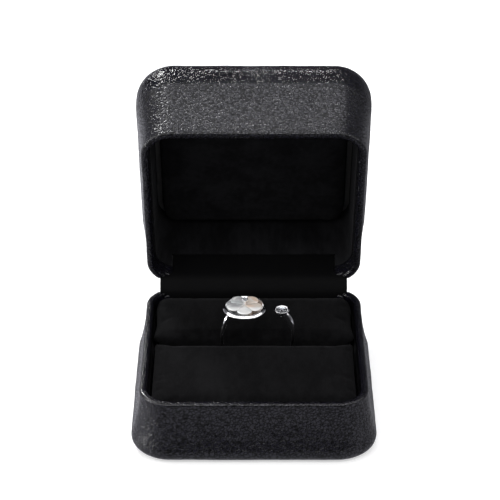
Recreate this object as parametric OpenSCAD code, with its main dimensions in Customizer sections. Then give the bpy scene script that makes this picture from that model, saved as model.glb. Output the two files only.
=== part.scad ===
// Ring display box: a flared, leatherette covered box with a sprung hinge, standing open,
// with a ring held upright in the slit of its velvet cushion.
// Millimetres. The origin is the centre of the underside, +Z is up and -Y is the front.

/* [Box] */
// Width over the rim
rim_w = 60; // [52:1:72]
// Depth over the rim, front to back
rim_d = 60; // [56:1:72]
// Corner radius of the rim, seen from above
corner_r = 8.5; // [7:0.5:10]
// How far the walls flare outwards beyond the rim, where the rounded edge begins
flare = 2.15; // [1:0.05:3]
// Height of the base, from the table to its rim
base_h = 17.2; // [16:0.1:24]
// Height of the lid, from its rim to its top face
lid_h = 27; // [24:0.1:32]
// Thickness of the wall at the rim, with its covering
wall_t = 2; // [1.8:0.1:2.4]
// Gap between the two rims when the lid is shut
shut_gap = 0.2; // [0.1:0.05:0.4]

/* [Covering] */
// Thickness of the leatherette
skin_t = 0.5; // [0.4:0.05:0.6]
// How far the leatherette is turned down inside the rim
turn_in = 4.5; // [3:0.5:6]
// Rounding of the rim's edges
bead_r = 0.7; // [0.6:0.05:0.8]

/* [Hinge] */
// Angle that the lid opens to
open_angle = 71; // [50:1:100]
// Length of the hinge
hinge_len = 46; // [44:1:46]
// Width of the satin strip over the hinge
strip_w = 53; // [50:1:54]
// How far the hinge pin's axis lies behind the rim
hinge_back = 0.7; // [0.5:0.05:0.9]
// Radius of the hinge pin
pin_r = 0.7; // [0.6:0.05:0.8]
// Thickness of the hinge leaves
leaf_t = 0.4; // [0.3:0.05:0.5]
// Depth of each leaf, down its wall
leaf_drop = 9; // [8:0.5:10]

/* [Cushion] */
// Distance of the slit behind the middle of the box
slot_y = 4.2; // [0:0.1:6]
// Width of the slit
slot_w = 2.1; // [1.9:0.1:2.6]
// How far the cushion's top lies below the rim
pad_drop = 0.9; // [0.5:0.1:2]
// Rounding of the cushion's top edges
pad_edge_r = 1.2; // [1:0.1:2]

/* [Ring] */
// Outer radius of the band
ring_r = 10.2; // [9.5:0.1:10.4]
// Radial thickness of the band
band_t = 1; // [0.9:0.1:1.3]
// Width of the band, along the finger
band_w = 1.7; // [1.4:0.1:1.7]
// Radius of the blossom over its petals
blossom_r = 4.9; // [4:0.1:5.2]

/* [Hidden] */
$fn = 64;

leather = [0.09, 0.09, 0.10];
velvet = [0.06, 0.06, 0.06];
satin = [0.05, 0.05, 0.06];
card = [0.20, 0.20, 0.21];
foam = [0.30, 0.30, 0.32];
moulding = [0.14, 0.14, 0.15];
steel = [0.22, 0.22, 0.24];
silver = [0.85, 0.86, 0.88];
pearl = [0.86, 0.83, 0.80];
crystal = [0.90, 0.93, 0.97];

// Shape of the flare: the power gives the wall its hollow sweep, upright at the rim.
flare_power = 1.6;
flare_steps = 9;
edge_steps = 8;
// Rounded edge round the closed face of each half: how far in, and how far up.
base_edge_in = 3.1;
base_edge_up = 4.2;
lid_edge_in = 6;
lid_edge_up = 8.5;

panel_t = 0.5;
panel_inset = 4;
foot_in = 6;
floor_t = 1.4;
// How far inside the rim the swept wall's foot reaches, and the plate that closes it.
foot_edge = 5;
plate_edge = 4;
shell_in = wall_t - skin_t;
base_floor = panel_t + skin_t + floor_t;
lid_floor = skin_t + floor_t;

lining_t = 0.7;
lining_in = 1.6;

card_t = 0.8;
card_in = lining_in + lining_t + 0.1;
velvet_t = 0.7;
pad_in = card_in + 0.9;
pad_corner_r = 3.2;
slit_corner_r = 0.8;
pad_top = base_h - pad_drop;
pad_foot = base_floor + card_t;
lid_pad_t = 4.6;
lid_pad_edge_r = 1.4;
satin_t = 0.4;

hinge_y = rim_d / 2 + hinge_back;
hinge_z = base_h + shut_gap / 2;
knuckle_r = pin_r + 0.5;
bore_r = pin_r + 0.05;
ear_t = 0.34;
lid_knuckle_len = 25.6;
knuckle_gap = 0.2;
// The notch that lets the leaves over the rim, and the inner face that they are riveted to.
notch_len = strip_w + 0.2;
notch_drop = knuckle_r + 0.02;
leaf_face = -(hinge_back + wall_t - skin_t);
notch_front = leaf_face - 1.1;
rivet_r = 0.75;
rivet_head_r = 1.4;
rivet_head_t = 0.45;
rivet_drop = 6.4;
rivet_xs = [-20, -10, 10, 20];
// The cam that the snap spring bears on, with one flat for each resting place of the lid.
cam_r = 1.6;
cam_flat = 1.3;
cam_len = 10;
spring_w = 9;
spring_t = 0.25;
spring_foot = 8;
spring_knee = 4.6;
// The strip lies over the rivets' heads, and reaches down each wall past the leaf.
strip_t = 0.35;
strip_tail = leaf_drop + 0.2;
strip_tail_w = strip_w - 7;
strip_face = leaf_face - rivet_head_t - 0.1;

ring_x = 1;
ring_z = pad_top + 0.45;
blossom_x = -2.5;
side_x = 7.6;
head_angle = 27;
tail_angle = 45;
dish_r = 5.9;
dish_t = 0.5;
dish_h = 1.5;
dish_z = base_h + 7.7;
petal_z = base_h + 9.2;
petal_t = 0.6;
petal_root = dish_z + dish_t;
petal_count = 5;
petal_r = 1.95;
collet_r = 1.0;
collet_h = 1.9;
side_r = 2.2;
side_top = base_h + 8.3;
side_cup = 1.5;

// ---- Shapes that repeat ----

// Rounded rectangle, drawn inside the rim's outer line by inset.
module rim_outline(inset) {
    r = corner_r - inset;
    w = rim_w - 2 * inset;
    d = rim_d - 2 * inset;
    square([w - 2 * r, d], center = true);
    square([w, d - 2 * r], center = true);
    for (x = [-1, 1], y = [-1, 1]) translate([x * (w / 2 - r), y * (d / 2 - r)]) circle(r);
}

module rim_plate(inset, z, t) {
    translate([0, 0, z]) linear_extrude(t) rim_outline(inset);
}

// Sweeps a wall section round the rim. The section is drawn as [outwards from the rim's outer
// line, up].
module round_the_rim() {
    half_w = rim_w / 2 - corner_r;
    half_d = rim_d / 2 - corner_r;
    for (side = [0:3]) rotate(90 * side) {
        across = side % 2 == 0 ? half_w : half_d;
        along = side % 2 == 0 ? half_d : half_w;
        translate([across, along, 0]) rotate_extrude(angle = 90) translate([corner_r, 0]) children();
        rotate([90, 0, 0]) linear_extrude(2 * along, center = true)
            translate([across + corner_r, 0]) children();
    }
}

// A quarter round from angle a to angle b, about a centre.
function arc(centre, r, a, b, steps = 4) =
    [for (i = [0:steps]) centre + r * [cos(a + (b - a) * i / steps), sin(a + (b - a) * i / steps)]];

function backwards(points) = [for (i = [len(points) - 1:-1:0]) points[i]];

// The outside of a wall from just below its rim to the closed face at z0, taken inwards by inset:
// a hollow flare, then a rounded edge that starts on the flare's own slope.
function wall_line(h, z0, edge_in, edge_up, inset) =
    let (drop = h - bead_r - edge_up, slope = flare_power * flare / drop)
    concat(
        [for (i = [flare_steps:-1:0])
            let (t = i / flare_steps)
            [flare * pow(1 - t, flare_power) - inset, edge_up + drop * t]],
        [for (i = [1:edge_steps])
            let (a = 90 * i / edge_steps, z = edge_up - (edge_up - z0 - inset) * sin(a))
            [flare + slope * (edge_up - z) - edge_in + (edge_in - inset) * cos(a), z]]);

// Leatherette: down inside the rim, over it, down the flare, and under the closed face.
function cover_section(h, z0, edge_in, edge_up) = concat(
    [[-wall_t, h - turn_in]],
    arc([-wall_t + bead_r, h - bead_r], bead_r, 180, 90),
    arc([-bead_r, h - bead_r], bead_r, 90, 0),
    wall_line(h, z0, edge_in, edge_up, 0),
    [[-foot_in, z0], [-foot_in, z0 + skin_t]],
    backwards(wall_line(h, z0, edge_in, edge_up, skin_t)),
    [[-bead_r, h - skin_t], [-wall_t + bead_r, h - skin_t], [-wall_t + skin_t, h - bead_r],
     [-wall_t + skin_t, h - turn_in]]);

// Moulded shell: fills the leatherette's wall, stands straight inside and has a foot for the floor.
function shell_section(h, z0, edge_in, edge_up) = concat(
    [[-foot_edge, z0 + skin_t], [-foot_edge, z0 + skin_t + floor_t],
     [-shell_in, z0 + skin_t + floor_t], [-shell_in, h - bead_r], [-wall_t + bead_r, h - skin_t],
     [-bead_r, h - skin_t]],
    wall_line(h, z0, edge_in, edge_up, skin_t));

// Moves what is drawn about the hinge's axis to that axis, for a half of height h.
module at_hinge(h) {
    translate([0, hinge_y, h + shut_gap / 2]) children();
}

module along_x(r, length) {
    rotate([0, 90, 0]) cylinder(r = r, h = length, center = true);
}

// Notch for the hinge in the rear wall, with room for the barrel, and deeper by extra. Drawn about
// the hinge's axis.
module barrel_notch(extra) {
    translate([-notch_len / 2, notch_front, -notch_drop - extra]) cube([notch_len, 6, 4]);
    along_x(knuckle_r + 0.15, notch_len);
    along_x(cam_r + 0.15, cam_len + 1);
}

// Window for the snap spring, drawn about the hinge's axis.
module spring_window() {
    translate([-spring_w / 2 - 0.5, leaf_face - 1, -spring_knee - 0.2]) cube([spring_w + 1, 2.3, 8]);
}

module rivet_holes() {
    for (x = rivet_xs) translate([x, 0, -rivet_drop]) rotate([90, 0, 0])
        cylinder(r = rivet_r, h = 20, center = true);
}

// What the hinge takes out of a shell: the notch, the window, the holes and a seat for the leaf.
module shell_hinge_cuts(h) {
    at_hinge(h) {
        barrel_notch(skin_t);
        spring_window();
        rivet_holes();
        translate([-hinge_len / 2, leaf_face - 1, -leaf_drop]) cube([hinge_len, 1 + leaf_t, 12]);
    }
}

// What the hinge takes out of the leatherette: the notch, and the strip turned in before the leaf.
module cover_hinge_cuts(h) {
    at_hinge(h) {
        barrel_notch(0);
        translate([-notch_len / 2, leaf_face - 1, -turn_in - 1]) cube([notch_len, 1, 8]);
    }
}

// Leatherette wrapped over the floor of the notch behind the leaf, along the wall's straight part. Its
// outer edge lies in the middle of the wall's own covering.
module notch_lip(h) {
    lip_len = rim_w - 2 * corner_r - 0.6;
    leaf_back = leaf_face + leaf_t + 0.05;
    lip_back = -hinge_back - skin_t / 2;
    at_hinge(h) difference() {
        translate([-lip_len / 2, leaf_back, -notch_drop - skin_t])
            cube([lip_len, lip_back - leaf_back, skin_t]);
        along_x(cam_r + 0.15, cam_len + 1);
        spring_window();
    }
}

module tray_shell(h, z0, edge_in, edge_up) {
    difference() {
        union() {
            round_the_rim() polygon(shell_section(h, z0, edge_in, edge_up));
            rim_plate(plate_edge, z0 + skin_t, floor_t);
        }
        shell_hinge_cuts(h);
    }
}

// Velvet covered card collar, standing inside the walls of a half of height h, under the turned-in
// leatherette, and lower along the hinge.
module lining_collar(h, foot) {
    difference() {
        translate([0, 0, foot]) linear_extrude(h - turn_in - 0.1 - foot) difference() {
            rim_outline(lining_in);
            rim_outline(lining_in + lining_t);
        }
        at_hinge(h) translate([-hinge_len / 2 - 0.4, -8, -leaf_drop - 0.3]) cube([hinge_len + 0.8, 8, 20]);
    }
}

// Cushion block with two large outer corners and two small ones beside the slit. front is -1 for
// the block before the slit and 1 for the one behind it.
module pad_block(front, inset, foot, top) {
    outer_y = rim_d / 2 - pad_in;
    slit_face = slot_y + front * slot_w / 2;
    edge_r = pad_edge_r - inset;
    outer_r = pad_corner_r - inset;
    slit_r = slit_corner_r - inset / 2;
    hull() for (x = [-1, 1]) {
        translate([x * (rim_w / 2 - pad_in - inset - outer_r), front * (outer_y - inset - outer_r), foot]) {
            cylinder(r = outer_r, h = top - foot - edge_r, $fn = 32);
            cylinder(r = outer_r - edge_r, h = top - foot, $fn = 32);
            translate([0, 0, top - foot - edge_r])
                cylinder(r1 = outer_r, r2 = outer_r - 0.3 * edge_r, h = 0.7 * edge_r, $fn = 32);
        }
        translate([x * (rim_w / 2 - pad_in - inset - slit_r), slit_face + front * (inset + slit_r), foot]) {
            cylinder(r = slit_r, h = top - foot - edge_r, $fn = 32);
            translate([-x * edge_r / 2, front * edge_r / 2, 0])
                cylinder(r = slit_r / 2, h = top - foot, $fn = 32);
        }
    }
}

module pad_cover(front) {
    difference() {
        pad_block(front, 0, pad_foot, pad_top);
        pad_block(front, velvet_t, pad_foot - 1, pad_top - velvet_t);
    }
}

// Puts what is drawn in the lid's own frame, top face down and rim up, where the open lid stands.
module in_lid() {
    translate([0, hinge_y, hinge_z]) rotate([-open_angle, 0, 0]) translate([0, -hinge_y, -hinge_z])
        translate([0, 0, base_h + shut_gap + lid_h]) mirror([0, 0, 1]) children();
}

// Mirrors what is drawn about the hinge's axis for the base to the open lid's side.
module lid_side() {
    translate([0, hinge_y, hinge_z]) rotate([-open_angle, 0, 0]) mirror([0, 0, 1]) children();
}

module base_side() {
    translate([0, hinge_y, hinge_z]) children();
}

// A leaf's plate down the wall, drawn about the hinge's axis.
module leaf_plate(top) {
    difference() {
        translate([-hinge_len / 2, leaf_face, -leaf_drop]) cube([hinge_len, leaf_t, leaf_drop - top]);
        spring_window();
        rivet_holes();
    }
}

// The plate's crank over the rim, from the wall to a knuckle that runs from x0 to x1.
module leaf_ear(x0, x1) {
    ear_top = -bore_r - 0.03;
    translate([x0, leaf_face, -notch_drop - 0.3]) cube([x1 - x0, leaf_t, notch_drop + 0.3 + ear_top]);
    translate([x0, leaf_face, ear_top - ear_t]) cube([x1 - x0, -leaf_face - 0.35, ear_t]);
}

// Four rivets through leaf and shell, with domed heads inside the box.
module leaf_rivets() {
    for (x = rivet_xs) translate([x, leaf_face, -rivet_drop]) rotate([-90, 0, 0]) {
        cylinder(r = rivet_r, h = shell_in - skin_t);
        rotate([180, 0, 0]) rotate_extrude() polygon(concat([[0, 0]], [[rivet_head_r, 0]],
            [for (a = [15:15:90]) [rivet_head_r * cos(a), rivet_head_t * sin(a)]]));
    }
}

// ---- Base ----

module base_shell() {
    color(moulding) tray_shell(base_h, panel_t, base_edge_in, base_edge_up);
}

module base_cover() {
    color(leather) {
        difference() {
            round_the_rim() polygon(cover_section(base_h, panel_t, base_edge_in, base_edge_up));
            cover_hinge_cuts(base_h);
        }
        notch_lip(base_h);
    }
}

// Paper covered card under the base, over the edges of the leatherette. The box stands on it.
module base_panel() {
    color(card) rim_plate(panel_inset, 0, panel_t);
}

module base_lining() {
    color(velvet) lining_collar(base_h, base_floor);
}

module cushion_card() {
    color(card) rim_plate(card_in, base_floor, card_t);
}

module front_pad_foam() {
    color(foam) pad_block(-1, velvet_t, pad_foot, pad_top - velvet_t);
}

module front_pad_cover() {
    color(velvet) pad_cover(-1);
}

module rear_pad_foam() {
    color(foam) pad_block(1, velvet_t, pad_foot, pad_top - velvet_t);
}

module rear_pad_cover() {
    color(velvet) pad_cover(1);
}

// Velvet strip at the bottom of the slit, which the ring stands on.
module slit_bed() {
    bed_top = ring_z - ring_r - 0.05;
    translate([-rim_w / 2 + pad_in + 2, slot_y - slot_w / 2, pad_foot])
        color(velvet) cube([rim_w - 2 * pad_in - 4, slot_w, bed_top - pad_foot]);
}

// ---- Hinge ----

module hinge_base_leaf() {
    color(steel) base_side() {
        difference() {
            union() {
                leaf_plate(notch_drop);
                for (x = [-1, 1]) {
                    x0 = lid_knuckle_len / 2 + knuckle_gap;
                    x1 = hinge_len / 2;
                    leaf_ear(x > 0 ? x0 : -x1, x > 0 ? x1 : -x0);
                    translate([x * (x0 + x1) / 2, 0, 0]) along_x(knuckle_r, x1 - x0);
                }
            }
            along_x(pin_r, hinge_len + 2);
        }
    }
}

// The lid's leaf, with the knuckle that carries the cam.
module hinge_lid_leaf() {
    color(steel) lid_side() {
        difference() {
            union() {
                leaf_plate(notch_drop);
                for (x = [-1, 1]) {
                    x0 = cam_len / 2 + 0.3;
                    x1 = lid_knuckle_len / 2;
                    leaf_ear(x > 0 ? x0 : -x1, x > 0 ? x1 : -x0);
                }
                along_x(knuckle_r, lid_knuckle_len);
                cam();
            }
            along_x(bore_r, hinge_len + 2);
        }
    }
}

// Thick middle of the lid's knuckle, with a flat towards the spring when the lid is shut and
// another when it stands open. Drawn mirrored, as the lid's side is.
module cam() {
    difference() {
        along_x(cam_r, cam_len);
        for (turn = [0, -open_angle]) rotate([turn, 0, 0])
            translate([-cam_len, -cam_flat - 2, -3]) cube([2 * cam_len, 2, 6]);
    }
}

module hinge_base_rivets() {
    color(steel) base_side() leaf_rivets();
}

module hinge_lid_rivets() {
    color(steel) lid_side() leaf_rivets();
}

module hinge_pin() {
    color(steel) base_side() {
        along_x(pin_r, hinge_len + 0.4);
        for (x = [-1, 1]) translate([x * (hinge_len / 2 + 0.35), 0, 0]) along_x(knuckle_r - 0.15, 0.5);
    }
}

// Flat spring: held on the inside of the base's leaf, and bearing on the cam's flat.
module hinge_snap_spring() {
    front = leaf_face - spring_t;
    cam_face = -cam_flat - 0.03;
    color(steel) base_side() rotate([90, 0, 90]) linear_extrude(spring_w, center = true) polygon([
        [front, -spring_foot], [front, -spring_knee],
        [cam_face - spring_t, -1.1], [cam_face - spring_t, 0.5],
        [cam_face, 0.5], [cam_face, -1.1],
        [leaf_face, -spring_knee], [leaf_face, -spring_foot]]);
}

// A point [y, z] about the hinge's axis on the shut lid, where it is with the lid open.
function opened(p) = [
    p[0] * cos(open_angle) + p[1] * sin(open_angle),
    -p[0] * sin(open_angle) + p[1] * cos(open_angle)];

// Section of the strip, reaching down each wall by tail from the hinge's axis.
function strip_section(tail) =
    let (turn = 0.6, back = strip_face - strip_t)
    [[strip_face, -tail], [strip_face, -turn], opened([strip_face, turn]), opened([strip_face, tail]),
     opened([back, tail]), opened([back, turn]), [back, -turn], [back, -tail]];

// The two outer corners that are cut off a tail of the strip, to clear the wall's round corners.
module strip_corners() {
    top = 0.02 - notch_drop;
    for (x = [-1, 1]) translate([x * (strip_tail_w / 2 + 5) - 5, strip_face - 2, top - 2 * strip_tail])
        cube([10, 4, 2 * strip_tail]);
}

// Satin strip that hides the hinge: up the base's rear wall, over the barrel and into the lid. It
// is full width in the notch.
module hinge_strip() {
    color(satin) difference() {
        base_side() rotate([90, 0, 90]) linear_extrude(strip_w, center = true)
            polygon(strip_section(strip_tail));
        base_side() strip_corners();
        lid_side() strip_corners();
    }
}

// ---- Lid ----

module lid_shell() {
    color(moulding) in_lid() tray_shell(lid_h, 0, lid_edge_in, lid_edge_up);
}

module lid_cover() {
    color(leather) in_lid() {
        difference() {
            union() {
                round_the_rim() polygon(cover_section(lid_h, 0, lid_edge_in, lid_edge_up));
                rim_plate(foot_in - 1, 0, skin_t);
            }
            cover_hinge_cuts(lid_h);
        }
        notch_lip(lid_h);
    }
}

module lid_lining() {
    color(velvet) in_lid() lining_collar(lid_h, lid_floor);
}

module lid_pad_card() {
    color(card) in_lid() rim_plate(card_in, lid_floor, card_t);
}

// The lid's pad, drawn inside its cover by inset, with a rounded edge.
module lid_pad(inset) {
    foot = lid_floor + card_t;
    face = foot + lid_pad_t - inset;
    r = lid_pad_edge_r - inset;
    side = -pad_in - inset;
    round_the_rim() polygon(concat(
        [[side - r - 0.5, foot], [side, foot]],
        arc([side - r, face - r], r, 0, 90),
        [[side - r - 0.5, face]]));
    rim_plate(pad_in + inset + r, foot, face - foot);
}

module lid_pad_foam() {
    color(foam) in_lid() lid_pad(satin_t);
}

// Velvet stretched over the lid's pad.
module lid_pad_cover() {
    color(velvet) in_lid() difference() {
        lid_pad(0);
        lid_pad(satin_t);
    }
}

// ---- Ring ----

// Puts what is drawn round the band's axis where the ring stands.
module at_ring() {
    translate([ring_x, slot_y, ring_z]) rotate([90, 0, 0]) children();
}

// Section of the band: flat inside and at the sides, rounded outside.
module band_section() {
    translate([ring_r - band_t, -band_w / 2]) square([band_t * 0.6, band_w]);
    intersection() {
        translate([ring_r - band_w * 0.62, 0]) circle(band_w * 0.62);
        translate([ring_r - band_t, -band_w / 2]) square([band_t, band_w]);
    }
}

module band_sweep() {
    at_ring() rotate(90 + head_angle) rotate_extrude(angle = 360 - head_angle - tail_angle) band_section();
}

// Open band: it starts under the blossom's dish, where it is filed flat, and ends under the side
// stone.
module ring_band() {
    color(silver) difference() {
        band_sweep();
        translate([blossom_x - dish_r, slot_y - band_w, dish_z]) cube([2 * dish_r, 2 * band_w, 4]);
    }
}

// Lobed dish that the petals sit in.
module blossom_dish() {
    color(silver) translate([blossom_x, slot_y, dish_z]) intersection() {
        rotate_extrude() polygon([
            [0, 0], [dish_r * 0.6, 0], [dish_r * 0.9, dish_h * 0.25], [dish_r, dish_h * 0.6],
            [dish_r, dish_h], [dish_r - 0.3, dish_h], [dish_r * 0.82, dish_h * 0.62],
            [dish_r * 0.5, dish_t], [0, dish_t]]);
        linear_extrude(4) blossom_outline(dish_r);
    }
}

// Five shallow round lobes about a round middle.
module blossom_outline(r) {
    lobe_r = petal_r + 0.9;
    circle(r * 0.9);
    for (i = [0:petal_count - 1]) rotate(-90 + 360 / petal_count * i) translate([r - lobe_r, 0])
        circle(lobe_r);
}

// Mother of pearl blossom: round petals in one slab, with a foot that sits in the dish.
module blossom_petals() {
    color(pearl) translate([blossom_x, slot_y, 0]) {
        translate([0, 0, petal_z]) linear_extrude(petal_t) {
            for (i = [0:petal_count - 1])
                rotate(-90 + 360 / petal_count * i) translate([blossom_r - petal_r, 0]) circle(petal_r);
            circle(blossom_r * 0.42);
        }
        translate([0, 0, petal_root]) cylinder(r = dish_r * 0.4, h = petal_z - petal_root + 0.1);
    }
}

module centre_collet() {
    translate([blossom_x, slot_y, petal_z + petal_t]) color(silver) rotate_extrude() polygon([
        [0, 0], [collet_r, 0], [collet_r * 0.92, collet_h], [collet_r * 0.7, collet_h],
        [collet_r * 0.62, collet_h - 0.45], [0, collet_h - 0.45]]);
}

// Brilliant cut stone as a turned solid: table, crown, girdle and cut-off pavilion.
module turned_stone(r, up, down) {
    rotate_extrude() polygon([
        [0, 0], [r * 0.45, 0], [r, down], [r, down + 0.08], [r * 0.6, down + up], [0, down + up]]);
}

module centre_stone() {
    translate([blossom_x, slot_y, petal_z + petal_t + collet_h - 0.45])
        color(crystal) turned_stone(collet_r * 0.6, 0.25, 0.25);
}

// Cup for the side stone, on a stem that is soldered to the band's end.
module side_collet() {
    color(silver) difference() {
        translate([side_x, slot_y, side_top]) rotate_extrude() polygon([
            [0, -2.9], [0.8, -2.9], [1.0, -side_cup], [side_r, -side_cup * 0.55], [side_r, 0],
            [side_r - 0.45, 0], [side_r - 0.55, -0.5], [1.0, -0.9], [0, -0.9]]);
        band_sweep();
    }
}

module side_stone() {
    translate([side_x, slot_y, side_top - 0.88]) color(crystal) turned_stone(side_r - 0.62, 0.42, 0.45);
}

base_shell();
base_cover();
base_panel();
base_lining();
cushion_card();
front_pad_foam();
front_pad_cover();
rear_pad_foam();
rear_pad_cover();
slit_bed();
hinge_base_leaf();
hinge_base_rivets();
hinge_pin();
hinge_snap_spring();
hinge_strip();
lid_shell();
lid_cover();
lid_lining();
lid_pad_card();
lid_pad_foam();
lid_pad_cover();
hinge_lid_leaf();
hinge_lid_rivets();
ring_band();
blossom_dish();
blossom_petals();
centre_collet();
centre_stone();
side_collet();
side_stone();
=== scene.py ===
"""Ring display box: the looks of the leatherette, the velvet cushion, the hinge and the ring."""

import math
from collections import namedtuple

import bmesh
import bpy
import numpy as np
from mathutils import Matrix, Vector


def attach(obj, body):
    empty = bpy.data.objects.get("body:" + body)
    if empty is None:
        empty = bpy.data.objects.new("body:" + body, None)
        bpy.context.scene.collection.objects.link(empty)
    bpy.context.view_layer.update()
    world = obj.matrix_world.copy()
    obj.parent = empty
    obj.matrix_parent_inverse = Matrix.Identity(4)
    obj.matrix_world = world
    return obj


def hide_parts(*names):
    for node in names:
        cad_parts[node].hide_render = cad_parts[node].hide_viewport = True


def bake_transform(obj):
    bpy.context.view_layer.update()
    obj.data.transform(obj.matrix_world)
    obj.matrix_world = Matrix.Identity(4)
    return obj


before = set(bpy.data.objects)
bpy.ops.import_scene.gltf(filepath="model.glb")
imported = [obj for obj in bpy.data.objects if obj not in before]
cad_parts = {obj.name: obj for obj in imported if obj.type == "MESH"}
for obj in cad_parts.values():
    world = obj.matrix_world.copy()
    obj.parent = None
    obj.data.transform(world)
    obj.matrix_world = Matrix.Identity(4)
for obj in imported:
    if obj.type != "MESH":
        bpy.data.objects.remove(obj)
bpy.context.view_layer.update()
scene = bpy.context.scene

# ---- Sizes of the box, in millimetres, as in the part's source ----

MM = 0.001
RIM = 60.0
CORNER_R = 8.5
FLARE = 2.15
FLARE_POWER = 1.6
BASE_H = 17.2
LID_H = 27.0
WALL_T = 2.0
SHUT_GAP = 0.2
SKIN_T = 0.5
TURN_IN = 4.5
BEAD_R = 0.7
FOOT_IN = 6.0
PANEL_T = 0.5
FLOOR_T = 1.4
CARD_T = 0.8
# Rounded edge of each closed face: how far in, how far up, and how far the leatherette stands off the plain
# wall at some heights.
Edge = namedtuple("Edge", "inwards up heights offsets")
BASE_EDGE = Edge(3.1, 4.2, (0.5, 1.2, 2.0, 3.0, 4.2, 5.4, 6.8), (0.0, 0.12, 0.20, 0.20, 0.12, 0.04, 0.0))
LID_EDGE = Edge(6.0, 8.5, (0.0, 3.0, 6.3, 7.3, 8.3, 9.8, 10.1),
                (-0.2, -0.38, -0.40, -0.36, -0.24, -0.01, 0.0))
OPEN_ANGLE = math.radians(71)
HINGE_BACK = 0.7
HINGE_Y = RIM / 2 + HINGE_BACK
HINGE_Z = BASE_H + SHUT_GAP / 2
STRIP_W = 53.0
SLIT_Y = 4.2
PAD_DROP = 0.9
RING_X = 1.0
RING_Z = BASE_H - PAD_DROP + 0.45
RING_R = 10.2
BAND_T = 1.0
BAND_W = 1.7
# How far from straight up the open ring's two ends stop, in degrees.
HEAD_ANGLE = 27
TAIL_ANGLE = 45
BLOSSOM_X = -2.5
DISH_Z = BASE_H + 7.7
PETAL_Z = BASE_H + 9.2
PETAL_T = 0.6
PETAL_TOP = PETAL_Z + PETAL_T
SIDE_X = 7.6
SIDE_TOP = BASE_H + 8.3
DISH_R = 5.9
PETAL_VALLEY_R = 3.25
PETAL_TIP_R = 4.9
# How far apart the leatherette's points are, down it and round it, and nearer on the rim.
SKIN_STEP = 0.5
RIM_STEP = 0.22
SEAM_STEP = 0.16
PLEAT = 0.12
RIM_DIP = 1.12
PEBBLE_PITCH = 0.8
# Heights above the lid's closed face: its coat wears off from the first to the second, and is whole again
# from the third to the fourth.
WORN = (0.4, 1.6, 9.2, 10.4)
STRIP_TAIL_W = 46.0
STRIP_T = 0.35
# The strip's middle layer, in front of the hinge's axis, and how far it runs into each half.
STRIP_Y = -2.925
STRIP_TAIL = 9.2
# Each pad is held at its foot: the cushion's up to HELD_H above the card under it, and the lid's up to
# LID_PAD_HELD above the closed face.
PAD_FOOT = PANEL_T + SKIN_T + FLOOR_T + CARD_T
HELD_H = 0.6
LID_PAD_HELD = 3.4
# Above the lining the cushion's pads are widened, by MOST_FILL at most, towards the tray's walls.
LINING_TOP = 12.9
TRAY_HALF = 27.7
TRAY_HALF_FRONT = 27.6
TRAY_HALF_REAR = 27.45
TRAY_CORNER_R = 6.2
MOST_FILL = 1.5
# The gap to the wall is measured where a pad comes this near it.
WIDEST_GAP = 2.6
SECTORS = 120
LIP_SHIFT = 0.62
# The slit's lips stay where they are within ARM_CLEAR of this distance from the ring's middle, because the
# band's arms pass there.
ARM_OUT = 8.2
ARM_CLEAR = 2.5
BED_TOP = 6.5
BED_HALF = 24.7
BED_HALF_W = 1.0
# The pads are simulated as larger ones, because small cloth is too stiff.
CLOTH_SCALE = 20.0
CLOTH_FRAMES = 20


# ---- Meshes ----

def piece(name, points, faces, smooth=True, uv=None):
    """A mesh object from points in millimetres, in the box's own frame, with its normals outwards."""
    mesh = bpy.data.meshes.new(name)
    mesh.from_pydata((np.asarray(points, float) * MM).tolist(), [], faces)
    mesh.validate()
    if uv is not None:
        layer = mesh.uv_layers.new(name="run")
        corner = np.zeros(len(mesh.loops), np.int32)
        mesh.loops.foreach_get("vertex_index", corner)
        layer.data.foreach_set("uv", np.asarray(uv, np.float32)[corner].ravel())
    bm = bmesh.new()
    bm.from_mesh(mesh)
    bmesh.ops.remove_doubles(bm, verts=bm.verts, dist=1e-7)
    bmesh.ops.recalc_face_normals(bm, faces=bm.faces)
    bm.to_mesh(mesh)
    bm.free()
    if smooth:
        mesh.shade_smooth()
    else:
        mesh.shade_flat()
    made = bpy.data.objects.new(name, mesh)
    scene.collection.objects.link(made)
    return made


def grid_faces(rows, columns, wrap_rows=False, wrap_columns=False):
    """Quads of a grid of points, stored row after row."""
    r, c = np.meshgrid(np.arange(rows if wrap_rows else rows - 1),
                       np.arange(columns if wrap_columns else columns - 1), indexing="ij")
    r2, c2 = (r + 1) % rows, (c + 1) % columns
    quads = np.stack([r * columns + c, r2 * columns + c, r2 * columns + c2, r * columns + c2], -1)
    return [tuple(q) for q in quads.reshape(-1, 4).tolist()]


def turned(profile, centre, sides=96):
    """Points and faces of a profile of (radius, height), turned about an upright axis through a point. The
    profile closes on itself or on the axis."""
    profile = np.asarray(profile, float)
    angle = np.linspace(0, 2 * math.pi, sides, endpoint=False)
    points = np.stack([np.outer(np.cos(angle), profile[:, 0]), np.outer(np.sin(angle), profile[:, 0]),
                       np.tile(profile[:, 1], (sides, 1))], -1)
    return points.reshape(-1, 3) + centre, grid_faces(sides, len(profile), True, True)


def along(points, step):
    """The points of a polyline, spaced evenly at about step."""
    points = np.asarray(points, float)
    run = np.concatenate([[0], np.cumsum(np.linalg.norm(np.diff(points, axis=0), axis=1))])
    at = np.linspace(0, run[-1], max(2, round(run[-1] / step) + 1))
    return np.stack([np.interp(at, run, points[:, i]) for i in range(points.shape[1])], -1)


def ease(x):
    """A smooth step from 0 to 1."""
    x = np.clip(x, 0, 1)
    return x * x * (3 - 2 * x)


def ripple(points, size, seed):
    """Smooth unevenness from -1 to 1 with features of about size, the same for the same seed."""
    rng = np.random.default_rng(seed)
    total = np.zeros(len(points))
    for _ in range(9):
        way = rng.normal(size=3)
        way /= np.linalg.norm(way)
        total += np.sin(points @ way * 2 * math.pi / size / rng.uniform(0.7, 1.5) + rng.uniform(0, 6.3))
    return total / 4.5


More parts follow.
